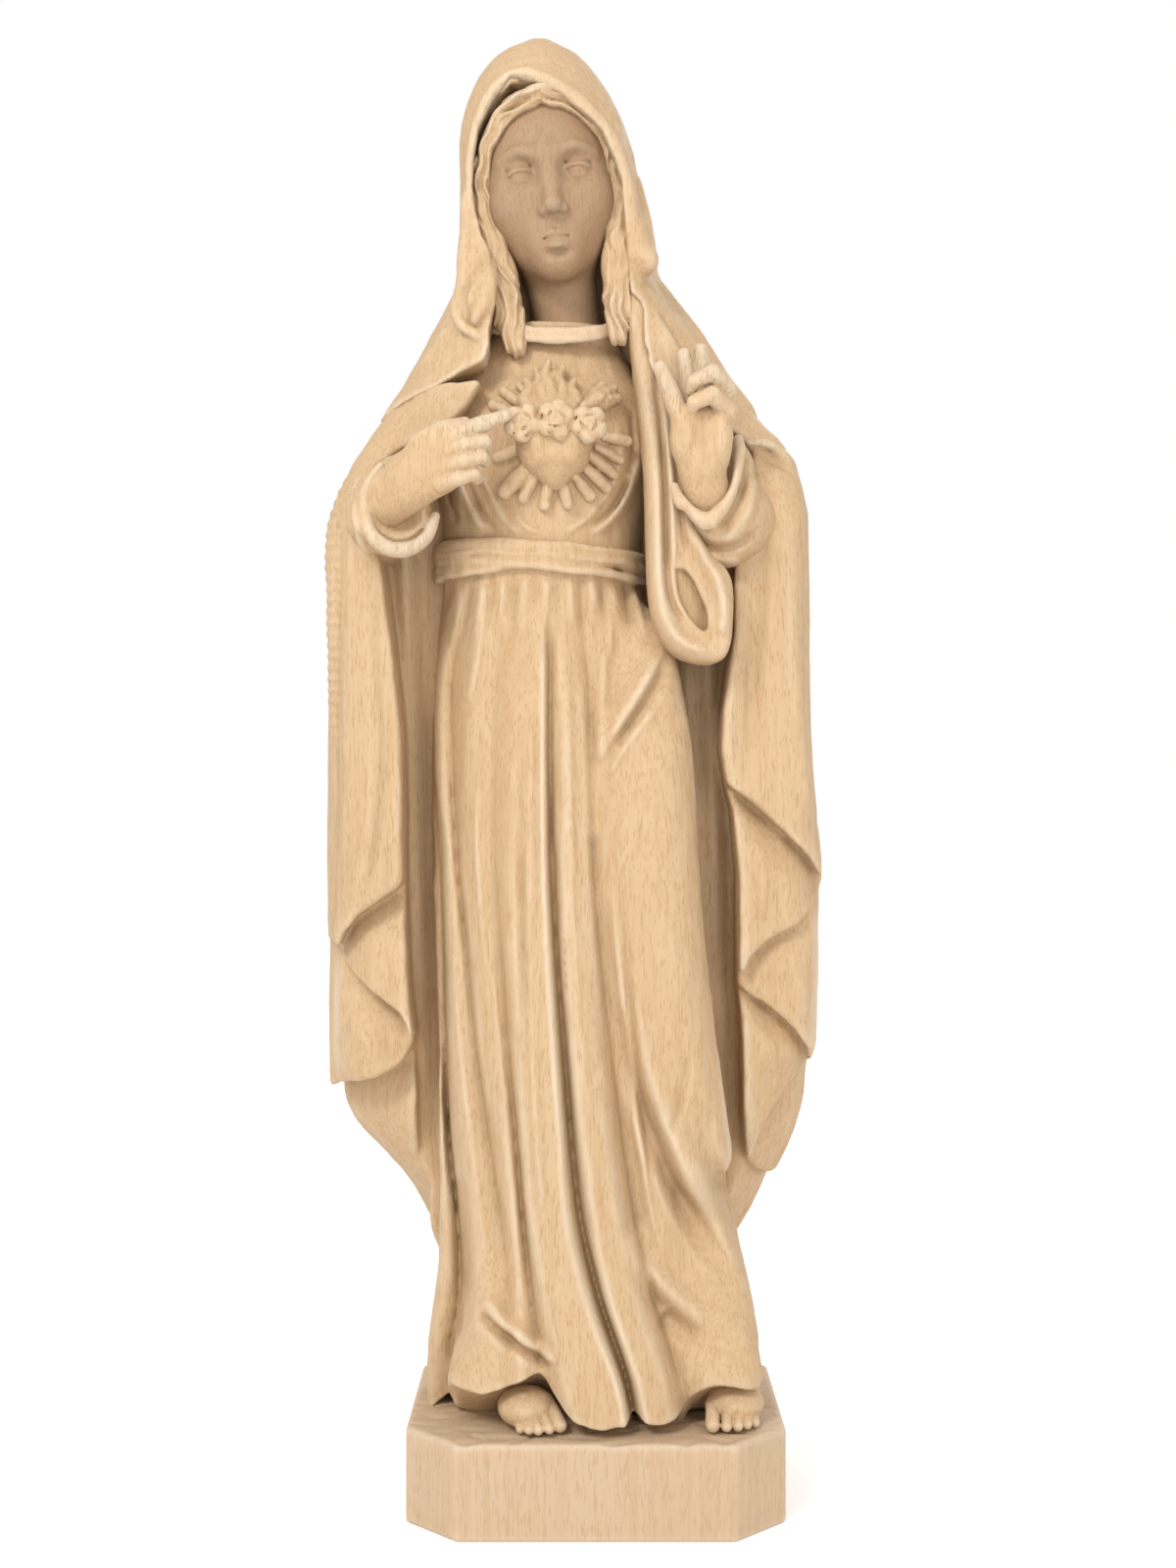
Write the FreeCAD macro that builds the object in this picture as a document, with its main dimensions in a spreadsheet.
"""Standing Madonna, carved in pale hardwood: the parametric document and its STEP files.

Frame: millimetres, +Z up, -Y towards the viewer. The origin is the middle of the plinth's underside.
Left and right in the names are the figure's own, so her right hand lies on the -X side.
The carving is built up as a carver glues a blank: a trunk between three mantle blocks, a hood over the
head, and hands, heart and toes that are set in on pegs.
"""
import FreeCAD, Part

import math
import os

import Sketcher

from FreeCAD import Placement, Rotation, Vector

doc = FreeCAD.newDocument("madonna_statue")
sheet = doc.addObject("Spreadsheet::Sheet", "dims")
nodes = {}

# ---------------------------------------------------------------- driving dimensions

DIMENSIONS = {
    # plinth: a block with its four corners cut off
    "plinth_width": 100.0,
    "plinth_depth": 84.0,
    "plinth_height": 25.0,
    "plinth_corner": 14.0,
    "plinth_edge": 0.8,
    # carved figure
    "panel_back": -2.0,
    "opening_back": -4.0,
    "opening_depth": 60.0,
    "head_x": -12.5,
    "head_y": -5.0,
    "head_z": 357.0,
    "head_half_width": 19.0,
    "head_half_depth": 23.5,
    "head_half_height": 30.0,
    "head_tilt": 6.5,
    "neck_radius": 10.5,
    "neck_top": 340.0,
    "hair_thickness": 2.6,
    "face_half_width": 15.5,
    "face_half_height": 24.0,
    "hood_window_width": 39.0,
    "hood_window_depth": 64.0,
    "hood_window_height": 62.0,
    "sash_bottom": 249.0,
    "sash_height": 11.0,
    "sash_proud": 1.6,
    "sash_depth": 4.0,
    # heart on the breast
    "heart_half_width": 10.0,
    "heart_drop": 11.5,
    "heart_notch": 4.0,
    "heart_lobe_rise": 6.5,
    "heart_depth": 11.0,
    "heart_rounding": 2.4,
    # pegs and fasteners
    "plinth_dowel_radius": 4.0,
    "plinth_dowel_length": 30.0,
    "plinth_dowel_spacing": 44.0,
    "neck_dowel_radius": 4.0,
    "neck_dowel_length": 32.0,
    "peg_radius": 2.0,
    "wrist_peg_length": 16.0,
    "heart_peg_length": 14.0,
    "screw_radius": 2.0,
    "screw_head_radius": 4.0,
    "screw_head_height": 2.6,
    "screw_length": 45.0,
    "screw_recess": 9.0,
    "screw_spacing": 34.0,
}

# Cross-sections from the bottom up: height, centre x, centre y, half width, half depth.
TRUNK = [
    (25.0, -1.0, 0.0, 46.0, 36.0),
    (68.0, -2.0, 0.0, 40.5, 34.0),
    (110.0, -5.0, 0.0, 38.0, 34.0),
    (160.0, -9.0, 0.5, 36.0, 33.0),
    (205.0, -11.5, 1.0, 34.5, 30.0),
    (249.0, -14.5, 2.0, 28.5, 26.5),
    (262.0, -14.5, 2.0, 28.0, 26.5),
    (288.0, -13.0, 2.0, 34.0, 27.0),
    (302.0, -12.5, 2.0, 31.0, 23.0),
    (312.0, -12.5, 1.0, 20.0, 15.0),
]
MANTLE = [
    (60.0, -3.0, 14.0, 40.0, 26.0),
    (84.0, -2.0, 8.0, 53.0, 33.0),
    (104.0, -7.5, 5.5, 67.0, 35.5),
    (170.0, -6.0, 5.0, 69.5, 36.0),
    (221.0, -9.0, 4.5, 66.0, 35.5),
    (259.0, -8.6, 4.0, 65.0, 35.0),
    (276.0, -7.0, 3.5, 63.5, 34.0),
    (288.0, -7.0, 3.0, 55.5, 33.0),
    (302.0, -7.5, 3.0, 47.5, 32.0),
]
HOOD = [
    (302.0, -7.5, 3.0, 47.5, 32.0),
    (319.0, -9.5, 2.0, 36.0, 30.0),
    (331.0, -10.5, 1.0, 28.5, 29.0),
    (345.0, -10.5, 0.0, 27.5, 28.5),
    (362.0, -12.8, 0.0, 25.0, 28.0),
    (380.0, -13.5, 0.5, 20.5, 25.0),
    (392.0, -14.5, 1.5, 14.5, 18.0),
    (400.0, -15.5, 2.0, 4.0, 6.0),
]
# The mantle's front opening, seen from the front: x and z of each corner, anticlockwise.
OPENING = [
    (-53.0, 55.0), (38.0, 55.0), (38.0, 272.0), (13.0, 290.0), (8.0, 303.0),
    (-24.0, 303.0), (-28.0, 291.0), (-40.0, 281.0), (-53.0, 268.0),
]
SMALLEST_SOLID = 20.0
SECTION_WORDS = ("height", "centre_x", "centre_y", "half_width", "half_depth")

# Where cloth, hands and ornament sit: start and end of each forearm, and the middle of the heart.
RIGHT_ELBOW = Vector(-63.0, -6.0, 259.0)
RIGHT_CUFF = Vector(-50.0, -28.0, 269.0)
LEFT_ELBOW = Vector(50.0, -6.0, 254.0)
LEFT_CUFF = Vector(31.0, -27.0, 266.0)
RIGHT_PALM = Vector(-40.0, -34.0, 277.5)
LEFT_PALM = Vector(27.0, -33.0, 287.0)
HEART = Vector(-10.0, -23.0, 284.0)


def write_sheet():
    """Every dimension is a plain number in its own cell, under an alias."""
    values = dict(DIMENSIONS)
    for name, sections in (("trunk", TRUNK), ("mantle", MANTLE), ("hood", HOOD)):
        for i, section in enumerate(sections):
            for word, value in zip(SECTION_WORDS, section):
                values[f"{name}_{i}_{word}"] = value
    for i, (x, z) in enumerate(OPENING):
        values[f"opening_{i}_x"], values[f"opening_{i}_z"] = x, z
    for row, (alias, value) in enumerate(values.items(), start=1):
        sheet.set(f"A{row}", alias)
        sheet.set(f"B{row}", str(value))
        sheet.setAlias(f"B{row}", alias)
    doc.recompute()


def dim(alias):
    return float(getattr(sheet, alias))


def add_cell(alias, value):
    """Adds one more size to the sheet and returns the expression that reads it."""
    row = int(sheet.getUsedRange()[1][1:]) + 1
    sheet.set(f"A{row}", alias)
    sheet.set(f"B{row}", str(value))
    sheet.setAlias(f"B{row}", alias)
    sheet.recompute()
    return f"dims.{alias}"


# ---------------------------------------------------------------- helpers

def origin_plane(body, role):
    return next(f for f in body.Origin.OriginFeatures if f.Role == role)


def new_body(label):
    body = doc.addObject("PartDesign::Body", label)
    body.Label = label
    return body


def new_sketch(body, name, role, offsets):
    """A sketch on one of the body's origin planes, moved by expressions {"x": "alias", ...}."""
    sketch = body.newObject("Sketcher::SketchObject", name)
    sketch.AttachmentSupport = [(origin_plane(body, role), "")]
    sketch.MapMode = "FlatFace"
    for axis, expression in offsets.items():
        sketch.setExpression(f"AttachmentOffset.Base.{axis}", expression)
    return sketch


def add_ellipse(sketch, half_width, half_depth):
    """An ellipse round the sketch's origin, its two half axes bound to expressions of the sheet."""
    a, b = (float(sheet.evalExpression(e)) for e in (half_width, half_depth))
    wide = a >= b
    major, minor = (Vector(a, 0, 0), Vector(0, b, 0)) if wide else (Vector(0, b, 0), Vector(a, 0, 0))
    curve = sketch.addGeometry(Part.Ellipse(major, minor, Vector()))
    sketch.exposeInternalGeometry(curve)
    sketch.addConstraint(Sketcher.Constraint("Coincident", curve, 3, -1, 1))
    sketch.addConstraint(Sketcher.Constraint("Horizontal" if wide else "Vertical", curve + 1))
    sizes = (a, half_width), (b, half_depth)
    for line, (size, expression) in zip((curve + 1, curve + 2), sizes if wide else sizes[::-1]):
        index = sketch.addConstraint(Sketcher.Constraint("Distance", line, 2 * size))
        sketch.setExpression(f"Constraints[{index}]", f"2 * ({expression})")


def pin_corners(sketch, corners):
    """A closed polygon whose corner points are bound to pairs of expressions, given with their sizes."""
    points = [Vector(x[0], y[0], 0) for x, y in corners]
    for i, point in enumerate(points):
        sketch.addGeometry(Part.LineSegment(point, points[(i + 1) % len(points)]))
    for i, corner in enumerate(corners):
        sketch.addConstraint(Sketcher.Constraint("Coincident", i, 2, (i + 1) % len(points), 1))
        for kind, (size, expression) in zip(("DistanceX", "DistanceY"), corner):
            index = sketch.addConstraint(Sketcher.Constraint(kind, -1, 1, i, 1, size))
            sketch.setExpression(f"Constraints[{index}]", expression)


def lofted(label, name, count):
    """A body lofted through the elliptical cross-sections that the sheet lists under name."""
    body = new_body(label)
    sketches = []
    for i in range(count):
        offsets = {
            "x": f"dims.{name}_{i}_centre_x",
            "y": f"dims.{name}_{i}_centre_y",
            "z": f"dims.{name}_{i}_height",
        }
        sketch = new_sketch(body, f"{name}_section_{i}", "XY_Plane", offsets)
        add_ellipse(sketch, f"dims.{name}_{i}_half_width", f"dims.{name}_{i}_half_depth")
        sketches.append(sketch)
    doc.recompute()
    loft = body.newObject("PartDesign::AdditiveLoft", f"{name}_loft")
    loft.Profile = sketches[0]
    loft.Sections = sketches[1:]
    loft.Ruled = True
    doc.recompute()
    return body


def primitive(kind, name, placement=None, **bound):
    """A Part primitive with its sizes bound to the sheet. A plain number first gets a cell of its own."""
    made = doc.addObject(kind, name)
    for key, value in bound.items():
        if not isinstance(value, str):
            value = add_cell(f"{name}_{key.lower()}", value)
        made.setExpression(key, value)
    if placement is not None:
        made.Placement = placement
    return made


def move(made, x=None, y=None, z=None):
    """Binds the primitive's position to expressions."""
    for axis, expression in (("x", x), ("y", y), ("z", z)):
        if expression is not None:
            made.setExpression(f"Placement.Base.{axis}", expression)
    return made


def along(start, end):
    """A placement whose +Z runs from start towards end."""
    return Placement(start, Rotation(Vector(0, 0, 1), end - start))


def rod(name, start, end, radius):
    return primitive("Part::Cylinder", name, along(start, end), Radius=radius, Height=(end - start).Length)


def finger(name, start, end, radius):
    """A finger, as a taper from knuckle to tip."""
    return primitive(
        "Part::Cone", name, along(start, end), Radius1=radius * 1.15, Radius2=radius * 0.8,
        Height=(end - start).Length + radius,
    )


def ellipsoid(name, centre, half_x, half_y, half_z, rotation=Rotation()):
    placement = Placement(centre, rotation)
    return primitive(
        "Part::Ellipsoid", name, placement, Radius1=half_z, Radius2=half_x, Radius3=half_y,
        Angle1="-90", Angle2="90", Angle3="360",
    )


def fuse(name, shapes):
    made = doc.addObject("Part::MultiFuse", name)
    made.Shapes = shapes
    made.Refine = False
    return made


def common(name, first, second):
    made = doc.addObject("Part::Common", name)
    made.Base, made.Tool = first, second
    return made


def cut(name, base, *tools):
    """base with each tool taken out of it, one Part::Cut after another."""
    for i, tool in enumerate(tools):
        last = i == len(tools) - 1
        step = doc.addObject("Part::Cut", name if last else f"{name}_step_{i}")
        step.Base, step.Tool = base, tool
        step.Refine = False
        base = step
    return base


def node(label, made):
    """Names a finished sub-part. Its file is parts/label.step."""
    made.Label = label
    nodes[label] = made
    return made


# ---------------------------------------------------------------- plinth

def plinth_corners():
    """The eight-cornered outline: a rectangle less its corners."""
    full_x, full_y = "dims.plinth_width / 2", "dims.plinth_depth / 2"
    half_x, half_y, corner = dim("plinth_width") / 2, dim("plinth_depth") / 2, dim("plinth_corner")
    size = {
        "full_x": (half_x, full_x),
        "full_y": (half_y, full_y),
        "short_x": (half_x - corner, f"({full_x} - dims.plinth_corner)"),
        "short_y": (half_y - corner, f"({full_y} - dims.plinth_corner)"),
    }
    found = []
    for sign_x, sign_y in ((1, -1), (1, 1), (-1, 1), (-1, -1)):
        ends = [("short_x", "full_y"), ("full_x", "short_y")]
        for words in ends if sign_x == -sign_y else ends[::-1]:
            pairs = zip((sign_x, sign_y), (size[word] for word in words))
            found.append([(sign * value, text if sign > 0 else f"-{text}") for sign, (value, text) in pairs])
    return found


def plinth_blank():
    body = new_body("plinth_blank")
    sketch = new_sketch(body, "plinth_outline", "XY_Plane", {})
    pin_corners(sketch, plinth_corners())
    doc.recompute()
    pad = body.newObject("PartDesign::Pad", "plinth_pad")
    pad.Profile = sketch
    pad.setExpression("Length", "dims.plinth_height")
    doc.recompute()
    upright = [
        f"Edge{i + 1}" for i, edge in enumerate(pad.Shape.Edges)
        if abs(edge.tangentAt(edge.FirstParameter).z) > 0.99
    ]
    chamfer = body.newObject("PartDesign::Chamfer", "plinth_softened_corners")
    chamfer.Base = (pad, upright)
    chamfer.setExpression("Size", "dims.plinth_edge")
    body.Tip = chamfer
    doc.recompute()
    return body


def pair(name, kind, spacing, z, **bound):
    """Two equal round pieces, either side of the middle along X."""
    made = []
    for side, sign in (("right", "-"), ("left", "")):
        piece = primitive(kind, f"{name}_{side}", **bound)
        made.append(move(piece, x=f"{sign}dims.{spacing} / 2", z=z))
    return made


def group(label, pieces):
    """Separate solids under one node."""
    made = doc.addObject("Part::Compound", label)
    made.Links = pieces
    return node(label, made)


# ---------------------------------------------------------------- ornament

def heart_body():
    """A heart-shaped pad in the XZ plane, with a rounded front edge."""
    body = new_body("heart_blank")
    sketch = new_sketch(body, "heart_outline", "XZ_Plane", {})
    half, drop = dim("heart_half_width"), dim("heart_drop")
    lobe, rise = half / 2, dim("heart_lobe_rise")
    tip = Vector(0, -drop, 0)
    middle = Vector(0, dim("heart_notch"), 0)
    right = Part.Arc(Vector(half, 0, 0), Vector(lobe, rise, 0), middle)
    left = Part.Arc(middle, Vector(-lobe, rise, 0), Vector(-half, 0, 0))
    flank_right = Part.Arc(tip, Vector(half * 0.72, -drop * 0.6, 0), Vector(half, 0, 0))
    flank_left = Part.Arc(Vector(-half, 0, 0), Vector(-half * 0.72, -drop * 0.6, 0), tip)
    for edge in (flank_right, right, left, flank_left):
        sketch.addGeometry(edge)
    doc.recompute()
    pad = body.newObject("PartDesign::Pad", "heart_pad")
    pad.Profile = sketch
    pad.setExpression("Length", "dims.heart_depth")
    doc.recompute()
    front = [
        f"Edge{i + 1}" for i, edge in enumerate(pad.Shape.Edges)
        if max(v.Point.y for v in edge.Vertexes) < 0.1 - dim("heart_depth")
    ]
    rounded = body.newObject("PartDesign::Fillet", "heart_rounded")
    rounded.Base = (pad, front)
    rounded.setExpression("Radius", "dims.heart_rounding")
    body.Tip = rounded
    body.Placement = Placement(HEART, Rotation())
    doc.recompute()
    return body


def roses():
    """Three rose heads in a row across the top of the heart."""
    places = (-7.9, -0.3, 7.3)
    return [ellipsoid(f"rose_{i}", HEART + Vector(x, -9.8, 4.0), 3.7, 3.6, 4.1) for i, x in enumerate(places)]


def flames():
    """Tongues of flame that rise behind the roses."""
    made = []
    base = HEART + Vector(-1.0, -4.0, 6.0)
    for i, (lean, height) in enumerate(((-5.5, 12.5), (-1.5, 16.0), (3.5, 14.0))):
        start, top = base + Vector(lean * 0.6, 0, 0), base + Vector(lean, 0.0, height)
        made.append(
            primitive(
                "Part::Cone", f"flame_{i}", along(start, top), Radius1=3.6, Radius2=0.8,
                Height=(top - start).Length,
            )
        )
    return fuse("flames", made)


def lily():
    """A bud on a short stalk, beside the flame."""
    start, end = HEART + Vector(5.0, -3.0, 6.0), HEART + Vector(11.5, -5.0, 13.5)
    bud = ellipsoid("lily_bud", end, 3.0, 3.0, 4.6, Rotation(Vector(0, 1, 0), 45))
    return fuse("lily_blank", [rod("lily_stalk", start, end, 2.0), bud])


def rays():
    """Bars that fan out from behind the heart, their backs sunk in the breast."""
    made = []
    first, last, count = -172.0, 8.0, 12
    inner, outer, width, front, back = 8.0, 19.5, 2.6, 4.4, 14.0
    for i in range(count):
        angle = math.radians(first + (last - first) * i / (count - 1))
        direction = Vector(math.cos(angle), 0, math.sin(angle))
        reach = outer if i % 2 else outer - 2.5
        turn = Rotation(Vector(0, -1, 0).cross(direction), Vector(0, -1, 0), direction, "ZYX")
        bar = primitive("Part::Box", f"ray_{i}", Length=width, Width=front + back, Height=reach - inner)
        corner = HEART + Vector(0, 0, -1.0) + direction * inner
        bar.Placement = Placement(corner + turn.multVec(Vector(-width / 2, -back, 0)), turn)
        made.append(bar)
    return made


# ---------------------------------------------------------------- hands, sleeves, falling cloth

def right_hand():
    """Laid flat, its forefinger pointing up at the heart."""
    palm = ellipsoid("right_palm", RIGHT_PALM, 8.2, 4.6, 11.0, Rotation(Vector(0, 1, 0), 63))
    pieces = [palm, rod("right_wrist", RIGHT_CUFF + Vector(2.0, -1.0, 1.0), RIGHT_PALM, 5.4)]
    knuckle = RIGHT_PALM + Vector(7.0, -1.0, 6.0)
    pieces.append(finger("right_forefinger", knuckle, Vector(-25.0, -38.0, 288.0), 2.3))
    for i, (x, z) in enumerate(((-27.5, 285.0), (-27.0, 281.0), (-29.0, 276.6))):
        start = RIGHT_PALM + Vector(7.5, -1.5, 3.2 - 3.6 * i)
        pieces.append(finger(f"right_finger_{i}", start, Vector(x, -38.0, z), 2.2))
    return fuse("right_hand_solid", pieces)


def left_hand():
    """Raised, palm forward: thumb and two fingers up, two fingers folded."""
    palm = ellipsoid("left_palm", LEFT_PALM, 8.2, 4.8, 12.0)
    pieces = [palm, rod("left_wrist", LEFT_CUFF + Vector(-1.0, -2.0, 1.0), LEFT_PALM, 5.2)]
    pieces.append(finger("left_thumb", LEFT_PALM + Vector(-5, -1, 3), Vector(19.5, -35.0, 303.0), 2.3))
    for i, x in enumerate((25.0, 29.5)):
        start = LEFT_PALM + Vector(x - 27, 0, 8)
        pieces.append(finger(f"left_raised_{i}", start, Vector(x, -31.0, 311.0), 2.3))
    for i, z in enumerate((302.0, 297.0)):
        start = Vector(34.0, -33.5, z - 2.0)
        pieces.append(finger(f"left_folded_{i}", start, Vector(26.5, -38.0, z), 2.3))
    return fuse("left_hand_solid", pieces)


def sleeve(name, elbow, cuff, elbow_radius, cuff_radius):
    return primitive(
        "Part::Cone", name, along(elbow, cuff), Radius1=elbow_radius, Radius2=cuff_radius,
        Height=(cuff - elbow).Length,
    )


def wrist_peg(name, cuff, palm):
    """A peg along the forearm, half in the sleeve and half in the hand."""
    direction = (palm - cuff).normalize()
    length = dim("wrist_peg_length")
    placement = along(cuff - direction * length / 2, cuff + direction * length / 2)
    return primitive(
        "Part::Cylinder", name, placement, Radius="dims.peg_radius", Height="dims.wrist_peg_length"
    )


def mantle_fall():
    """The strip of mantle that hangs from the neck, turns up in a loop and ends at the left forearm."""
    thick, bend = 5.4, 8.4
    middle = Vector(22.9, -33.0, 239.5)
    inner, outer = middle + Vector(-bend, 0, 0), middle + Vector(bend, 0, 0)
    turn = primitive(
        "Part::Torus", "fall_turn", Placement(middle, Rotation(Vector(1, 0, 0), -90)),
        Radius1=bend, Radius2=thick, Angle1="-180", Angle2="180", Angle3="180",
    )
    legs = [
        rod("fall_inner", inner, Vector(9.5, -23.0, 316.0), thick),
        rod("fall_outer", outer, Vector(34.0, -30.0, 260.0), thick),
    ]
    return fuse("mantle_fall_blank", [turn] + legs)


def foot(name, x, turn):
    """The toes of a bare foot, under the hem."""
    return ellipsoid(name, Vector(x, -32.0, 29.0), 7.0, 9.0, 4.0, Rotation(Vector(0, 0, 1), turn))


# ---------------------------------------------------------------- pegs and fasteners

def plinth_dowels(prefix):
    """The two dowels that locate the trunk on the plinth, half in each."""
    return pair(
        prefix, "Part::Cylinder", "plinth_dowel_spacing",
        "dims.plinth_height - dims.plinth_dowel_length / 2",
        Radius="dims.plinth_dowel_radius", Height="dims.plinth_dowel_length",
    )


def screw(name, sign):
    """A countersunk wood screw, driven up through the plinth on the centre line's front or back."""
    shank = primitive(
        "Part::Cylinder", f"{name}_shank", Radius="dims.screw_radius",
        Height="dims.screw_length - dims.screw_head_height",
    )
    head = primitive(
        "Part::Cone", f"{name}_head", Radius1="dims.screw_head_radius",
        Radius2="dims.screw_radius", Height="dims.screw_head_height",
    )
    y = f"{sign}dims.screw_spacing / 2"
    move(shank, x="0", y=y, z="dims.screw_recess + dims.screw_head_height")
    move(head, x="0", y=y, z="dims.screw_recess")
    return fuse(name, [shank, head])


def screw_recess(name, sign):
    """The round pocket below a screw's head."""
    made = primitive("Part::Cylinder", name, Radius="dims.screw_head_radius", Height="dims.screw_recess")
    return move(made, x="0", y=f"{sign}dims.screw_spacing / 2", z="0")


def neck_dowel():
    made = primitive(
        "Part::Cylinder", "neck_dowel_rod", Radius="dims.neck_dowel_radius", Height="dims.neck_dowel_length"
    )
    return move(made, x="dims.head_x", y="0", z="dims.trunk_9_height - dims.neck_dowel_length / 2")


def heart_peg():
    made = primitive(
        "Part::Cylinder", "heart_peg_rod", Placement(Vector(), Rotation(Vector(1, 0, 0), 90)),
        Radius="dims.peg_radius", Height="dims.heart_peg_length",
    )
    made.Placement.Base = HEART + Vector(0, dim("heart_peg_length") / 2, 0)
    return made


# ---------------------------------------------------------------- the document

def head_solid():
    """The skull with its neck, tipped towards her right shoulder, and a nose to show its front."""
    tilt = Rotation(Vector(0, 1, 0), -dim("head_tilt"))
    centre = Vector(dim("head_x"), dim("head_y"), dim("head_z"))
    skull = ellipsoid(
        "skull", centre, dim("head_half_width"), dim("head_half_depth"), dim("head_half_height"), tilt
    )
    chin = ellipsoid("jaw", centre + Vector(2.0, -9.0, -15.0), 12.5, 12.5, 14.5, tilt)
    nose = ellipsoid("nose", centre + Vector(0.8, -23.0, -5.5), 2.6, 4.0, 6.0, tilt)
    neck = primitive(
        "Part::Cylinder", "neck", Radius="dims.neck_radius", Height="dims.neck_top - dims.trunk_9_height"
    )
    move(neck, x="dims.head_x", y="0", z="dims.trunk_9_height")
    return fuse("head_blank", [skull, chin, nose, neck])


def hair_shell(face):
    """Hair round the head, open at the face."""
    extra = dim("hair_thickness")
    centre = Vector(dim("head_x"), dim("head_y"), dim("head_z"))
    outer = ellipsoid(
        "hair_outer", centre, dim("head_half_width") + extra, dim("head_half_depth") + extra * 0.6,
        dim("head_half_height") + extra, Rotation(Vector(0, 1, 0), -dim("head_tilt")),
    )
    window = ellipsoid(
        "face_window", centre + Vector(0.5, -22.0, -4.0), dim("face_half_width"), 26.0,
        dim("face_half_height"), Rotation(Vector(0, 1, 0), -dim("head_tilt")),
    )
    return cut("hair_shell", outer, window, face)


def hood_opening():
    """The space in front of the face and throat that the hood leaves open."""
    centre = Vector(dim("head_x") + 1.0, -34.0, dim("head_z") - 5.0)
    sizes = [dim(f"hood_window_{word}") / 2 for word in ("width", "depth", "height")]
    window = ellipsoid("hood_window", centre, *sizes, Rotation(Vector(0, 1, 0), -7))
    throat = primitive("Part::Box", "throat_window", Length=33.0, Width=60.0, Height=50.0)
    throat.Placement.Base = Vector(-25.0, -62.0, 282.0)
    return fuse("hood_opening", [window, throat])


def sash_ring():
    """A band let into the waist, standing a little proud of it."""
    body = new_body("sash")
    offsets = {"x": "dims.trunk_5_centre_x", "y": "dims.trunk_5_centre_y", "z": "dims.sash_bottom"}
    sketch = new_sketch(body, "sash_outline", "XY_Plane", offsets)
    for change in ("+ dims.sash_proud", "- dims.sash_depth"):
        add_ellipse(sketch, f"dims.trunk_5_half_width {change}", f"dims.trunk_5_half_depth {change}")
    doc.recompute()
    pad = body.newObject("PartDesign::Pad", "sash_pad")
    pad.Profile = sketch
    pad.setExpression("Length", "dims.sash_height")
    doc.recompute()
    return body


def mantle_opening():
    """The space between the mantle's two front edges."""
    body = new_body("mantle_opening")
    sketch = new_sketch(body, "opening_outline", "XZ_Plane", {"z": "-dims.opening_back"})
    pin_corners(
        sketch,
        [((x, f"dims.opening_{i}_x"), (z, f"dims.opening_{i}_z")) for i, (x, z) in enumerate(OPENING)],
    )
    doc.recompute()
    pad = body.newObject("PartDesign::Pad", "opening_pad")
    pad.Profile = sketch
    pad.setExpression("Length", "dims.opening_depth")
    doc.recompute()
    return body


def blank_block(name, x_low, x_high, y_low, y_high):
    """One block of the glued-up mantle blank, as a box to keep of the whole mantle."""
    made = primitive("Part::Box", name, Length=x_high - x_low, Width=y_high - y_low, Height=300.0)
    made.Placement.Base = Vector(x_low, y_low, 30.0)
    return made


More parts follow.
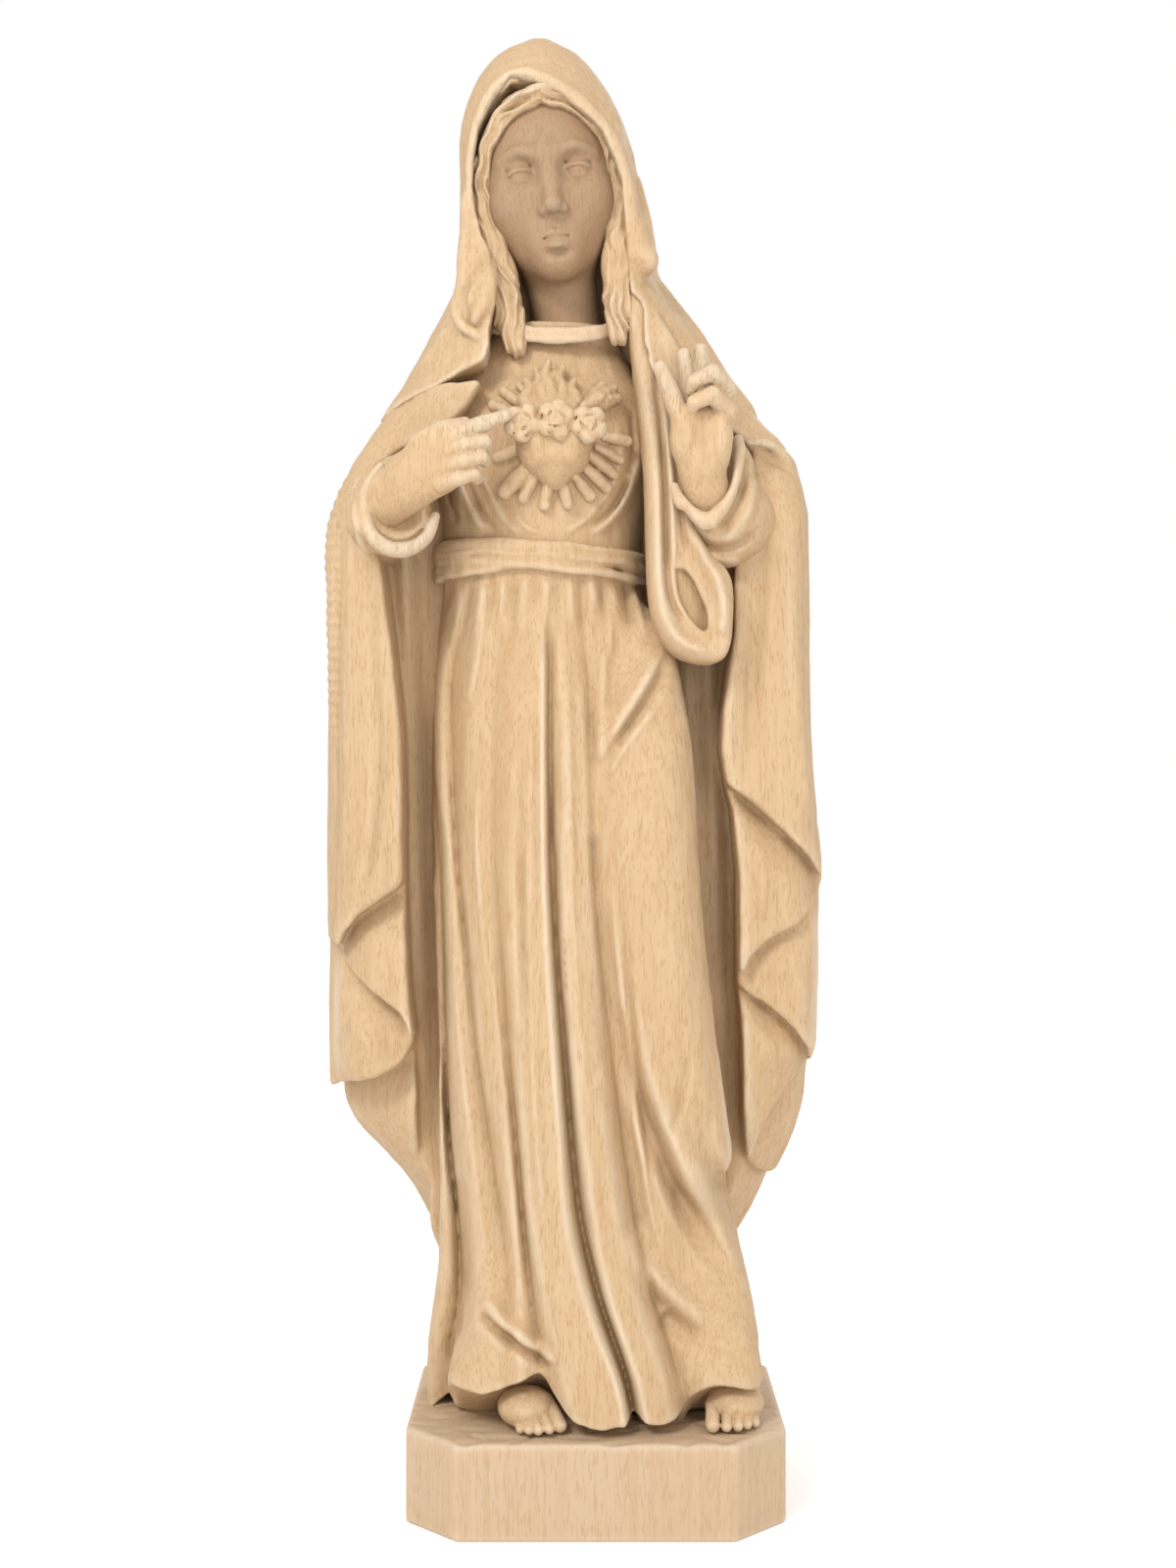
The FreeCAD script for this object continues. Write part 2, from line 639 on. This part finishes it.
def build():
    write_sheet()
    trunk_blank = lofted("trunk_blank", "trunk", len(TRUNK))
    mantle_blank = lofted("mantle_blank", "mantle", len(MANTLE))
    hood_blank = lofted("hood_blank", "hood", len(HOOD))

    # fasteners and pegs first, because their holes are cut in everything else
    dowels = plinth_dowels("plinth_dowel")
    screws = [screw("screw_front", "-"), screw("screw_back", "")]
    recesses = [screw_recess("recess_front", "-"), screw_recess("recess_back", "")]
    neck_pin, heart_pin = node("neck_dowel", neck_dowel()), node("heart_peg", heart_peg())
    right_pin = wrist_peg("right_wrist_peg", RIGHT_CUFF, RIGHT_PALM)
    left_pin = wrist_peg("left_wrist_peg", LEFT_CUFF, LEFT_PALM)
    group("plinth_dowels", dowels)
    group("plinth_screws", screws)
    group("wrist_pegs", [right_pin, left_pin])

    # plinth and feet
    plinth = node("plinth", cut("plinth_cut", plinth_blank(), *dowels, *screws, *recesses))
    feet = [foot("right_toes", -15.5, 12), foot("left_toes", 37.0, -18)]
    for label, toes in zip(("right_foot", "left_foot"), feet):
        node(label, cut(f"{label}_cut", toes, plinth))

    # trunk and sash
    sash = node("sash", sash_ring())
    holes = [*dowels, *screws, *feet, neck_pin, heart_pin, sash]
    node("gown", cut("gown_cut", trunk_blank, *holes))

    # head and hair
    skull = head_solid()
    node("head", cut("head_cut", skull, neck_pin))
    hair = node("hair", cut("hair_cut", hair_shell(skull), trunk_blank))

    # ornament on the breast
    heart_blank = heart_body()
    heads = roses()
    group("rose_wreath", heads)
    node("heart", cut("heart_cut", heart_blank, heart_pin, trunk_blank, *heads))
    flame = node("flame", cut("flame_cut", flames(), heart_blank, *heads, trunk_blank))
    bud = node("lily", cut("lily_cut", lily(), heart_blank, *heads, flame, trunk_blank))

    # hands, sleeves and the falling strip
    right, left = right_hand(), left_hand()
    node("right_hand", cut("right_hand_cut", right, right_pin, trunk_blank))
    node("left_hand", cut("left_hand_cut", left, left_pin))
    right_cloth = sleeve("right_sleeve_blank", RIGHT_ELBOW, RIGHT_CUFF, 12.0, 13.5)
    left_cloth = sleeve("left_sleeve_blank", LEFT_ELBOW, LEFT_CUFF, 11.0, 12.5)
    node("right_sleeve", cut("right_sleeve_cut", right_cloth, right, right_pin, trunk_blank))
    node("left_sleeve", cut("left_sleeve_cut", left_cloth, left, left_pin, trunk_blank))
    fall = node(
        "mantle_fall",
        cut("mantle_fall_cut", mantle_fall(), left, left_cloth, trunk_blank, sash, bud, skull, hair),
    )
    front = [right, left, right_cloth, left_cloth]
    sun = []
    for i, ray in enumerate(rays()):
        tools = [heart_blank, *heads, flame, bud, trunk_blank, right, fall]
        sun.append(cut(f"ray_{i}_cut", ray, *tools))
    group("heart_rays", sun)

    # mantle in three blocks, and the hood over the head
    mantle = cut("mantle_cut", mantle_blank, mantle_opening(), trunk_blank, sash, *front, fall)
    blocks = {
        "mantle_back": (-100.0, 100.0, dim("panel_back"), 60.0),
        "mantle_right": (-100.0, -6.0, -60.0, dim("panel_back")),
        "mantle_left": (-6.0, 100.0, -60.0, dim("panel_back")),
    }
    for label, box in blocks.items():
        node(label, common(f"{label}_common", mantle, blank_block(f"{label}_block", *box)))
    hood_tools = [hood_opening(), skull, hair, trunk_blank, fall, *front]
    node("veil", cut("veil_cut", hood_blank, *hood_tools))
    doc.recompute()


def check_and_export():
    """Stops if an object failed or any node is bad, and only then writes each node's STEP file."""
    failed = [o.Name for o in doc.Objects if {"Invalid", "Error"} & set(o.State)]
    if failed:
        raise SystemExit(f"these objects failed: {failed}")
    for label, made in nodes.items():
        shape = made.Shape
        if shape.isNull() or not shape.isValid() or not shape.Solids:
            raise SystemExit(f"{label} is not a valid solid")
        if min(solid.Volume for solid in shape.Solids) < SMALLEST_SOLID:
            raise SystemExit(f"{label} has a sliver")
    os.makedirs("parts", exist_ok=True)
    for label, made in nodes.items():
        print(f"{label:16s} {len(made.Shape.Solids):3d} solids, {made.Shape.Volume / 1000:.3f} cm3")
        made.Shape.exportStep(f"parts/{label}.step")


if __name__ == "__main__":
    build()
    check_and_export()
